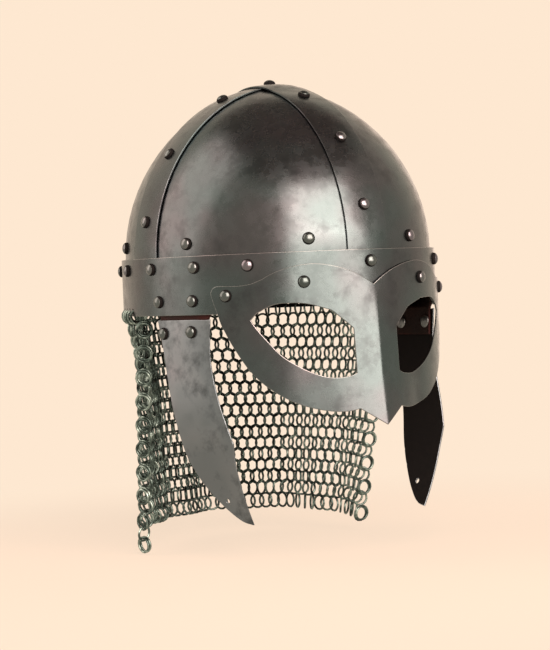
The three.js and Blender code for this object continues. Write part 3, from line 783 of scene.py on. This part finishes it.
# %% Make the mask
nose_reach = 38 * mm
nose_lean = 12.4 * mm
nose_root = 26 * mm
nose_softness = 0.16
brow_line = [
    (0, 0.5185), (0.07, 0.673), (0.157, 0.821), (0.262, 0.932), (0.383, 0.988), (0.502, 0.944),
    (0.61, 0.833), (0.729, 0.642), (0.823, 0.586), (0.963, 0.589), (1, 0.478), (1, 0.386),
]
cheek_line = [
    (1, 0.386), (0.9615, 0), (0.914, -0.173), (0.846, -0.347), (0.76, -0.522), (0.647, -0.669),
    (0.495, -0.793), (0.341, -0.857), (0.234, -0.872), (0.149, -0.854),
]
nose_tip = (0, -1)
eye_low = [
    (0.1556, -0.545), (0.2045, -0.57), (0.297, -0.5755), (0.39, -0.537), (0.486, -0.468),
    (0.582, -0.373), (0.6556, -0.256), (0.722, -0.139), (0.759, -0.059),
]


def nose_share(x):
    """1 on the ridge, 0 beyond the nose's reach, and a gentle bend where the two meet."""
    rest = 1 - abs(x) / nose_reach
    if rest > nose_softness:
        return rest
    return max(0, rest + nose_softness) ** 2 / (4 * nose_softness)


def bend_mask(u, v, w):
    point = wall_point(-u / degree, v, mask_out + w)
    push = nose_lean * max(0, (nose_root - v) / (nose_root + mask_drop))
    point.y -= push * nose_share(point.x)
    return point


def mirrored_line(line):
    return [(-u, v) for u, v in reversed(line)]


right_edge = [mask_place(p) for p in smooth_line(brow_line, 60) + smooth_line(cheek_line, 60)[1:]]
mask_outline = right_edge + [mask_place(nose_tip)] + mirrored_line(right_edge)[:-1]
eye = [mask_place(p) for p in smooth_line(eye_top, 40) + smooth_line(eye_low, 44)[:-1]]
mask = sheet_piece(
    "eye_rings_and_nose", [mask_outline, eye, mirrored_line(eye)],
    (cut_lines(-57, 58, 2), [nose_root]), bend_mask, ["spectacle_mask"],
)
print("mask made,", len(mask.data.polygons), "faces")

# %% [markdown]
# ## Cheek plates
#
# Each cheek plate is straight at the top and curls in below the jaw. It hangs from the rim by its
# leather, 3 mm below the band, and a tie hole near its tip takes a thong. `along` runs forward from
# the hinge's middle and `down` from the rim. The left plate is the right one, mirrored, and in the
# photograph it hangs turned about its front edge, with its rear edge inward, as soft leather lets it.

# %% Make the cheek plates
hinge_turn = 70.3
cheek_width = 50.5 * mm
cheek_length = 140 * mm
cheek_gap = 3 * mm
cheek_bow = 267 * mm
curl_start, curl_depth = 57.8 * mm, 20.5 * mm
curl_length = cheek_length - curl_start
tie_hole = (23 * mm, -126.5 * mm)
tie_hole_radius = 1.6 * mm
left_plate_turn, left_plate_swing = radians(24), radians(3.5)
cheek_out = wall_normal(hinge_turn)
cheek_along = up.cross(cheek_out)
cheek_root = wall_point(hinge_turn, 0, 0)
front_line = [(0.495, 0), (0.479, 0.186), (0.558, 0.35), (0.703, 0.512), (0.784, 0.6)]
tip_line = [(0.784, 0.6), (0.762, 0.7), (0.766, 0.8), (0.774, 0.914), (0.778, 1)]
rear_line = [
    (0.778, 1), (0.6, 0.984), (0.412, 0.933), (0.226, 0.86), (0.046, 0.766),
    (-0.087, 0.662), (-0.184, 0.516), (-0.289, 0.35), (-0.394, 0.143), (-0.495, 0),
]


def cheek_point(along, down, out):
    """A point of the right plate, bowed across at the top and curled in toward its tip."""
    flat_share = min(max(1 - down / cheek_length, 0), 1)
    curl = max(down - curl_start, 0) / curl_length
    inward = along**2 / cheek_bow * flat_share + curl_depth * curl**2
    facing = (cheek_out - up * (2 * curl_depth * curl / curl_length)).normalized()
    return cheek_root + cheek_along * along - cheek_out * inward - up * down + facing * out


mirror = Vector((-1, 1, 1))
left_pivot = cheek_point(cheek_width / 2, 0, band_out) * mirror
left_along = cheek_along * mirror


def left_hang(point, share=1.0):
    """Swings a mirrored point in and turns it about the left plate's front edge, by a share of each."""
    swung = Matrix.Rotation(-left_plate_swing * share, 3, left_along) @ (point - left_pivot)
    return left_pivot + Matrix.Rotation(left_plate_turn * share, 3, "Z") @ swung


def right_or_left(bend, side, share_at=lambda v: 1.0):
    """The right side's bend, or for the left one the same, mirrored, turned over and hung."""
    if side == "right":
        return bend

    def flipped(u, v, w):
        return left_hang(bend(-u, v, w) * mirror, share_at(v))

    return flipped


def bend_cheek(u, v, w):
    return cheek_point(u, -v, band_out + w)


def cheek_place(shares):
    x, y = shares
    return (x * cheek_width, -(cheek_gap + y * cheek_length))


cheek_edge = smooth_line(front_line, 24) + smooth_line(tip_line, 16)[1:] + smooth_line(rear_line, 60)[1:]
cheek_loops = [cheek_place(p) for p in cheek_edge], circle(*tie_hole, tie_hole_radius, 16)
sides = (("right", 1), ("left", -1))
for side, way in sides:
    loops = [[(way * u, v) for u, v in loop] for loop in cheek_loops]
    u_cuts = [way * u * mm for u in range(-24, 40, 6)] + [way * tie_hole[0]]
    v_cuts = [-v * mm for v in range(8, 143, 7)] + [tie_hole[1]]
    sheet_piece(
        "cheek_guard_" + side, loops, (u_cuts, v_cuts), right_or_left(bend_cheek, side),
        ["cheek_plate_" + side], materials=cheek_finish, body="cheek_" + side,
    )
print("cheek plates made")

# %% [markdown]
# ## Hinge leathers
#
# A strip of thick leather inside the band and the cheek plate joins them. It bends at the 3 mm gap, where
# it shows red-brown, painted nearly black as the gap's shade, so each leather is one piece that blends
# from the helmet to the plate.
# It is cut narrower below the gap, so that the plate hides it, and the left one twists with its plate.

# %% Make the hinge leathers
leather = 2 * mm
leather_out = band_out - 0.3 * mm - leather
temple_radius = 116.5 * mm
half = cheek_width / 2
leather_outline = [
    (-half * 0.93, -22 * mm), (half * 0.87, -22 * mm), (half * 0.87, -4 * mm), (half * 0.95, 1 * mm),
    (half, 4 * mm), (half, 19 * mm), (-half, 19 * mm), (-half, 4 * mm), (-half * 0.93, -1 * mm),
]
leather_folds = [v * mm for v in (-16, -8, -5.5, -3, -1.5, 0, 2.5, 6.5, 12)]


def bend_leather(u, v, w):
    """Along the wall above the rim, and along the cheek plate below it."""
    if v < 0:
        return cheek_point(u, -v, leather_out + w)
    return wall_point(hinge_turn - degrees(asin(u / temple_radius)), v, leather_out + w)


def twist_share(v):
    """None of the left plate's turn in the band, all of it on the plate, and a twist between."""
    return 1 - smooth_step(v, -3 * mm, 5 * mm)


for side, way in sides:
    cuts = [way * u * mm for u in range(-20, 24, 4)], leather_folds
    hide = sheet_piece(
        "hinge_strip_" + side, [[(way * u, v) for u, v in leather_outline]], cuts,
        right_or_left(bend_leather, side, twist_share),
        ["hinge_leather_upper_" + side, "hinge_leather_lower_" + side], thickness=leather,
        rim=0.5 * mm, materials=[hinge_hide_with_painted_shade, hinge_hide_with_painted_shade, hinge_inner_painted_shade], body=None,
    )
    middle = wall_point(way * hinge_turn, 0, 1.7 * mm)
    if side == "left":
        middle = left_hang(middle)
    start, end = middle + up * 0.5 * mm, middle - up * 3.5 * mm
    tuple(start)
    tuple(end)
    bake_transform(hide)
print("hinge leathers made")

# %% [markdown]
# ## Rivets
#
# Forty-nine rivets hold the helmet. A rivet's head is a dome 8.6 mm across, and inside the tail is
# clenched over, or over a washer where it holds leather. A profile spun round its axis makes both.
# The lowest 1.6 mm of each head takes the near-black inside finish, as painted shade where the head meets
# the sheet.

# %% Rivet shape
head_radius, head_height, head_rim = 4.3 * mm, 3.4 * mm, 0.35 * mm
tail_radius, washer_radius = 3 * mm, 4.7 * mm
tail_height, tail_side, tail_slack = 1.1 * mm, 0.7 * mm, 0.01 * mm
painted_shade_height = 1.6 * mm


def spin_round(bm, geometry, count):
    """Spins points and edges once round the z axis."""
    bmesh.ops.spin(
        bm, geom=geometry, cent=(0, 0, 0), axis=(0, 0, 1), angle=2 * pi, steps=count,
        use_merge=True, use_duplicate=False,
    )


def spin_profile(profile, count):
    """A round solid from (radius, height) places, the first and the last of them on the z axis."""
    bm = bmesh.new()
    points = [bm.verts.new((r, 0, h)) for r, h in profile]
    spin_round(bm, points + [bm.edges.new(pair) for pair in zip(points, points[1:])], count)
    bmesh.ops.remove_doubles(bm, verts=bm.verts[:], dist=1e-6)
    return bm


def spin_rivet(node, foot, facing, grip, radius=tail_radius, body="root", joined=False):
    """A rivet on its axis. grip is how far out its tail sits, and the sheet under its head.
    A joined one has no node of its own, because its solid is one with a plate's."""
    tail, head = grip[0], grip[1] + steel_sheet
    profile = [(0, tail - tail_height), (radius * 0.85, tail - tail_height), (radius, tail - tail_side)]
    profile += [(radius, tail), (head_radius, head), (head_radius, head + head_rim)]
    for a in map(radians, (15, 32, 50, 70)):
        height = head_rim + (head_height - head_rim) * sin(a)
        profile.append((head_radius * cos(a) ** 0.9, head + height))
    bm = spin_profile(profile + [(0, head + head_height)], 20)
    bmesh.ops.recalc_face_normals(bm, faces=bm.faces[:])
    turned = up.rotation_difference(facing).to_matrix().to_4x4()
    bmesh.ops.transform(bm, matrix=Matrix.Translation(foot) @ turned, verts=bm.verts[:])
    for face in bm.faces:
        height = (face.calc_center_median() - foot).dot(facing)
        if height < tail + tail_slack:
            face.material_index = 1 if radius == washer_radius else 0
        # painted shade: a band round the head's foot takes the near-black finish
        elif height < head + painted_shade_height:
            face.material_index = 2
    mesh = mesh_from(bm, "domed_" + node)
    finish = [rivet_steel, edge_steel, scale_and_painted_shade]
    return make_piece(mesh, finish, body, [] if joined else [node])


# %% [markdown]
# The rows follow the photograph: sixteen round the band, eight above it that hold the liner, three
# down each arm of the straps, one at the crown, four on the mask and eight on the hinge leathers.

# %% Make the rivets
band_row, hinge_row, liner_climb = 32.5 * mm, 9.7 * mm, 4.2
band_turns = [44, 64, 84.5, 104, 124, 144, 162]
liner_turns = {"front": [22.6, 68], "rear": [112, 157.4]}
mask_places = {"ear": (51.8, 12.4 * mm), "brow": (25, 20 * mm)}
hinge_turns = [65.1, 80.8]
cheek_places = {"right": [(8.8, 11.4), (-17.6, 12.2)], "left": [(17, 12.4), (-9.9, 12.7)]}
strap_rows = {
    "front": (0, [14.8, 40, 66]), "rear": (180, [14.8, 40, 66]),
    "right": (90, [12.4, 37.4, 67]), "left": (-90, [12.4, 37.4, 67]),
}
band_grip, mask_grip, hide_grip = (plate_out, band_out), (band_out, mask_out), (leather_out, band_out)
liner_grip, strap_grip, crown_grip = (-2 * mm, plate_out), (plate_out, layer), (plate_out, 2 * layer)


def wall_rivet(node, turn, z, grip, **rest):
    spin_rivet(node, wall_point(turn, z, 0), wall_normal(turn), grip, **rest)


def dome_rivet(node, turn, climb, grip, **rest):
    spin_rivet(node, dome_point(turn, climb, 0), dome_normal(turn, climb), grip, **rest)


wall_rivet("band_rivet_front", 0, band_row, band_grip)
wall_rivet("band_rivet_rear", 180, band_row, band_grip)
for side, way in sides:
    for i, turn in enumerate(band_turns, 1):
        joined = i == len(band_turns)
        wall_rivet(f"band_rivet_{side}_{i}", way * turn, band_row, band_grip, joined=joined)
    for end, turns in liner_turns.items():
        for i, turn in enumerate(turns, 1):
            node, joined = f"liner_rivet_{end}_{side}_{i}", end == "rear"
            dome_rivet(node, way * turn, liner_climb, liner_grip, joined=joined)
    for place, (turn, z) in mask_places.items():
        wall_rivet(f"mask_rivet_{place}_{side}", way * turn, z, mask_grip)
    for i, turn in enumerate(hinge_turns, 1):
        node = f"hinge_rivet_{side}_{i}"
        wall_rivet(node, way * turn, hinge_row, hide_grip, radius=washer_radius)
    for i, (along, down) in enumerate(cheek_places[side], 1):
        foot = cheek_point(along * mm, down * mm, 0)
        ahead = cheek_point((along + 1) * mm, down * mm, 0) - foot
        facing = ahead.cross(up).normalized()
        if side == "left":
            tip = left_hang((foot + facing) * mirror)
            foot = left_hang(foot * mirror)
            facing = tip - foot
        node = f"cheek_rivet_{side}_{i}"
        spin_rivet(node, foot, facing, hide_grip, washer_radius, "cheek_" + side)
for row, (turn, climbs) in strap_rows.items():
    for i, climb in enumerate(climbs, 1):
        dome_rivet(f"strap_rivet_{row}_{i}", turn, climb, strap_grip)
dome_rivet("crown_rivet", 0, 90, crown_grip)

# %% [markdown]
# ## Aventail
#
# Mail is rings, each linked through four others. A ring stands nearly upright and leans to one side,
# and the next row leans to the other, which is why its rows alternate. Closer columns turn the rings
# further edge-on. A ring is a small circle spun round a larger one, and a copy of it is set at each
# place. Along the two upright edges the last rings hang in pairs and turn flat-on to the front right,
# because nothing pulls on their free side. The right side is tucked in by a few millimetres. The
# hem's rings hang by one link and sag lower, and at the right corner a pair hangs by one more.

# %% Make the mail
wire_radius, ring_radius = 0.88 * mm, 5.45 * mm
row_pitch, row_count = 8.6 * mm, 18
first_drop, row_drop, hem_sag = 0.2 * mm, 1 * mm, 1.6 * mm
top_lean, edge_turn = radians(80), radians(-62)
lean_reach = 2.2 * mm
pair_gap, pair_step = 0.95 * mm, 0.5 * mm
edge_reach = 0.035
near_tuck, near_flare, side_tuck = 2.2 * mm, -1.4 * mm, 3 * mm
hollow_opens, hollow_closes = (0.35, 0.75), (0.9, 1.02)
hem_lean, hem_scatter = 1.15, 0.25
link_lean, pair_drop = radians(20), 1.95 * row_pitch


def one_ring():
    bm = bmesh.new()
    section = bmesh.ops.create_circle(bm, cap_ends=False, segments=5, radius=wire_radius)["verts"]
    bmesh.ops.rotate(bm, cent=(0, 0, 0), matrix=Matrix.Rotation(pi / 2, 3, "X"), verts=section)
    bmesh.ops.translate(bm, vec=(ring_radius, 0, 0), verts=section)
    spin_round(bm, bm.verts[:] + bm.edges[:], 14)
    bmesh.ops.recalc_face_normals(bm, faces=bm.faces[:])
    return mesh_from(bm, "ring")


def tuck(sweep, z):
    """How far the right side is drawn in: at its front edge, and in a hollow behind that."""
    edge = mix(near_tuck, near_flare, (mail_rise - z) / mail_drop) * max(0, sweep) ** 3
    hollow = smooth_step(sweep, *hollow_opens) * (1 - smooth_step(sweep, *hollow_closes))
    return edge * smooth_step(-z, 0, 12 * mm) + side_tuck * hollow * smooth_step(-z, 8 * mm, 30 * mm)


def ring_frame(sweep, z, lean):
    """Where one ring sits: its plane holds the upward line, turned by lean from the hanging sheet."""
    centre = mail_point(sweep, z) + Vector((tuck(sweep, z), 0, 0))
    ahead = mail_point(sweep + 0.004, z) - mail_point(sweep - 0.004, z)
    above = (mail_point(sweep, z + 1 * mm) - mail_point(sweep, z - 1 * mm)).normalized()
    ahead = (ahead - above * ahead.dot(above)).normalized()
    flat_way = ahead * cos(lean) + ahead.cross(above) * sin(lean)
    axes = Matrix((flat_way, above, flat_way.cross(above))).transposed()
    return Matrix.Translation(centre) @ axes.to_4x4()


def pair_at(place, step):
    """Two rings side by side on a common axis, one a step lower than the other."""
    return [place @ Matrix.Translation((0, -step * way, pair_gap * way)) for way in (-1, 1)]


def ring_places():
    """The frame of every ring, row by row, then the link and the pair below the right corner."""
    for row in range(row_count):
        odd, hem = row % 2, row == row_count - 1
        z = -row * row_pitch - (row_drop if row else first_drop) - (hem_sag if hem else 0)
        for i in range(mail_columns + odd):
            sweep = -1 + (2 * i + 1 - odd) / mail_columns
            if odd and i in (0, mail_columns):
                yield from pair_at(ring_frame(sweep + (edge_reach if i else 0), z, edge_turn), pair_step)
                continue
            column = mail_point(sweep + 1 / mail_columns, z) - mail_point(sweep - 1 / mail_columns, z)
            lean = acos(min(column.length / (4 * lean_reach), 0.97)) if row else top_lean
            if hem:
                lean *= hem_lean + hem_scatter * sin(5 * i)
            yield ring_frame(sweep, z, lean if odd else -lean)
    corner = 1 + edge_reach, -row_drop - (row_count - 1) * row_pitch - hem_sag
    yield Matrix.Translation((0, 0, -row_pitch)) @ ring_frame(*corner, link_lean)
    yield from pair_at(Matrix.Translation((0, 0, -pair_drop)) @ ring_frame(*corner, edge_turn), 0)


def make_mail():
    ring = one_ring()
    bm = bmesh.new()
    for count, place in enumerate(ring_places(), 1):
        one = ring.copy()
        one.transform(place)
        bm.from_mesh(one)
        bpy.data.meshes.remove(one)
    bpy.data.meshes.remove(ring)
    mesh = mesh_from(bm, "mail_curtain")
    print("mail of", count, "rings,", len(mesh.polygons), "faces")
    return mesh


curtain = make_piece(make_mail(), [wire_steel], "root", ["aventail"])

# %% [markdown]
# ## Liner
#
# Nothing of the liner shows in the photograph. Such helmets have a leather band riveted above the
# brow band, cut into tongues that lean in to a pad at the crown and keep the steel off the head.

# %% Make the liner
liner_leather = 1.5 * mm
liner_gap = 0.5 * mm
liner_out = -liner_gap - liner_leather
liner_low, liner_top, liner_end = 1.27, 8.7, 73.7
liner_hang = 12 * mm
tongue_count, half_slit, slit_flare = 8, 4.5, 1.5


def bend_liner(u, v, w):
    """The tongues leave the dome as they climb, by liner_hang from the middle of their length on."""
    climb = v / degree
    away = liner_hang * smooth_step(climb, liner_top, (liner_top + liner_end) / 2)
    return dome_point(180 - u / degree, climb, liner_out - away + w)


def liner_outline():
    points = [(0, liner_low), (360, liner_low), (360, liner_top)]
    share = 360 / tongue_count
    for i in reversed(range(tongue_count)):
        left, right = i * share + half_slit, (i + 1) * share - half_slit
        points += [(right + slit_flare, liner_top), (right, liner_top + 2), (right, liner_end - 4)]
        points += [(right - 3, liner_end), (left + 3, liner_end)]
        points += [(left, liner_end - 4), (left, liner_top + 2), (left - slit_flare, liner_top)]
    points.append((0, liner_top))
    return [(u * degree, v * degree) for u, v in points]


lining = sheet_piece(
    "leather_lining", [liner_outline()], (cut_lines(9, 360, 9), cut_lines(9, 75, 6)), bend_liner,
    ["liner"], thickness=liner_leather, rim=0.3 * mm, materials=[liner_hide] * 3,
    seam=(0, 360 * degree),
)
print("liner made,", len(lining.data.polygons), "faces")

# %% [markdown]
# ## Crown pad
#
# The pad is two discs of leather sewn round a felt filling. Sewing pulls the rim in and leaves the
# middle full, so its profile is a low lens that closes to a thin seam. A ring of tacks draws it in.

# %% Make the crown pad
pad_low, pad_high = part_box("crown_pad")
tack_depth, tack_ring, tack_size = 0.8 * mm, 0.55, 0.12


def make_pad():
    radius = (pad_high[0] - pad_low[0]) / 2
    bottom, top = pad_low[2], pad_high[2]
    shoulder = bottom + 5 * mm
    profile = [(0, bottom), (0.5, bottom), (0.86, bottom + 0.2 * mm), (0.97, bottom + 1.6 * mm)]
    profile += [(1, bottom + 3 * mm), (0.97, shoulder - 0.6 * mm), (0.8, shoulder + 1.2 * mm)]
    profile += [(0.55, top - 1.2 * mm), (0, top - 0.6 * mm)]
    bm = spin_profile([(radius * share, height) for share, height in profile], 48)
    bmesh.ops.subdivide_edges(bm, edges=bm.edges[:], cuts=1, use_grid_fill=True, smooth=0.0)
    bmesh.ops.recalc_face_normals(bm, faces=bm.faces[:])
    for vert in bm.verts:
        turn = atan2(vert.co.y, vert.co.x)
        reach = hypot(vert.co.x, vert.co.y) / radius
        tack = max(0, cos(4 * turn)) ** 12 * exp(-(((reach - tack_ring) / tack_size) ** 2))
        vert.co.z += (tack_depth if vert.co.z < shoulder else -tack_depth) * tack
    return mesh_from(bm, "felt_filled_pad")


pad = make_piece(make_pad(), [liner_hide], "root", ["crown_pad"])
print("crown pad", round((pad_high[0] - pad_low[0]) / mm, 1), "mm across")

# %% [markdown]
# ## Floor, backdrop and light
#
# The helmet stands on plain peach paper that runs up behind it. Where the camera or a gloss looks at
# the paper, it shows its own colour, so that the lamps needn't be bright enough to bleach it. Near
# the helmet a fifth of what the floor shows is real light, which keeps the soft shadow under it.

# %% Backdrop
paper = paint("fee8d1")


def looked_at(tree):
    """1 where the camera, a gloss or glass looks, and 0 where light only bounces."""
    rays = add(tree, "LightPath").outputs
    seen = rays["Is Camera Ray"]
    for kind in ("Is Glossy Ray", "Is Transmission Ray"):
        seen = add(tree, "Math", {0: seen, 1: rays[kind]}, operation="MAXIMUM").outputs[0]
    return seen


def stage_disc(name, radius, height, segments, material):
    """A level disc of the studio."""
    bm = bmesh.new()
    bmesh.ops.create_circle(bm, cap_ends=True, segments=segments, radius=radius)
    bmesh.ops.translate(bm, vec=(0, 0, height), verts=bm.verts[:])
    return add_object(name, mesh_from(bm, name, smooth=False), [material])


floor_paper = bpy.data.materials.new("peach_paper_floor")
tree = empty_tree(floor_paper)
away = add(tree, "VectorMath", {0: place_of(tree)}, operation="LENGTH").outputs["Value"]
plain = remap(tree, away, (0.25, 0.6), (0.8, 1), interpolation_type="SMOOTHSTEP")
share = add(tree, "Math", {0: looked_at(tree), 1: plain}, operation="MULTIPLY").outputs[0]
matte = add(tree, "BsdfDiffuse", {"Color": paint("d9c6b3")})
glow = add(tree, "Emission", {"Color": paper, "Strength": 1})
both = add(tree, "MixShader", {0: share, 1: matte.outputs[0], 2: glow.outputs[0]})
add(tree, "OutputMaterial", {"Surface": both.outputs[0]})

floor_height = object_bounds()[0][2] - 1 * mm
floor = stage_disc("floor", radius=6, height=floor_height, segments=64, material=floor_paper)
floor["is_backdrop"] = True

world = bpy.data.worlds.new("studio")
tree = empty_tree(world)
room = add(tree, "Background", {"Color": paint("ffffff"), "Strength": 0.4})
backdrop = add(tree, "Background", {"Color": paper, "Strength": 1})
both = add(tree, "MixShader", {0: looked_at(tree), 1: room.outputs[0], 2: backdrop.outputs[0]})
add(tree, "OutputWorld", {"Surface": both.outputs[0]})
bpy.context.scene.world = world
print("floor at", round(floor_height / mm, 1), "mm")

# %% [markdown]
# Polished steel shows its lamps as bright patches, so each patch of the photograph tells where a lamp
# stood. A large soft box stands in front at 30 degrees up, and a wide low one lights the mask. A
# tall one stands to the wearer's right for the cheek plate, and a weak one behind the left ear. The
# lamps are as warm as the paper, because the oiled steel's cool tint then comes out a plain grey. A
# grey card over the helmet keeps its crown dark.


# %% Lamps
lamp_distance = 1.6
watts_per_area = 4
lamp_colour = (1, 0.74, 0.64)


def soft_box(name, turn, climb, size, shine):
    """A lamp at a turn to the wearer's left and a climb, with its size in metres and its brightness."""
    light = bpy.data.lights.new(name, "AREA")
    light.shape = "RECTANGLE"
    light.size, light.size_y = size
    light.energy = shine * watts_per_area * size[0] * size[1]
    light.color = lamp_colour
    a, s = radians(turn), radians(climb)
    way = Vector((sin(a) * cos(s), -cos(a) * cos(s), sin(s)))
    stand(name, light, way * lamp_distance, way.to_track_quat("Z", "Y"))


soft_box("front_box", -6, 31, (1.5, 1.0), 8.5)
soft_box("low_front_box", -4, 8, (1.9, 0.6), 6.6)
soft_box("right_box", -120, 30, (1.1, 1.9), 2.2)
soft_box("rear_left_box", 140, 8, (1.0, 0.8), 0.5)

# %% Grey card overhead
card_grey, tree, shader = new_material("dark_grey_card")
feed(shader, {"Base Color": paint("8c8c8c"), "Roughness": 0.9})
card = stage_disc("overhead_card", radius=1.6, height=1.9, segments=48, material=card_grey)
card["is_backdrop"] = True
print("card", round(card.data.vertices[0].co.z, 2), "m up")

# %% [markdown]
# ## Finish
#
# Standard view transform keeps the colours as they were written. The object's box is printed, since
# finishing must not change its size.

# %% Finish
bpy.context.scene.view_settings.view_transform = "Standard"
made_box = [list(corner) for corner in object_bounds()]
print("box", [[round(x / mm, 1) for x in corner] for corner in made_box])
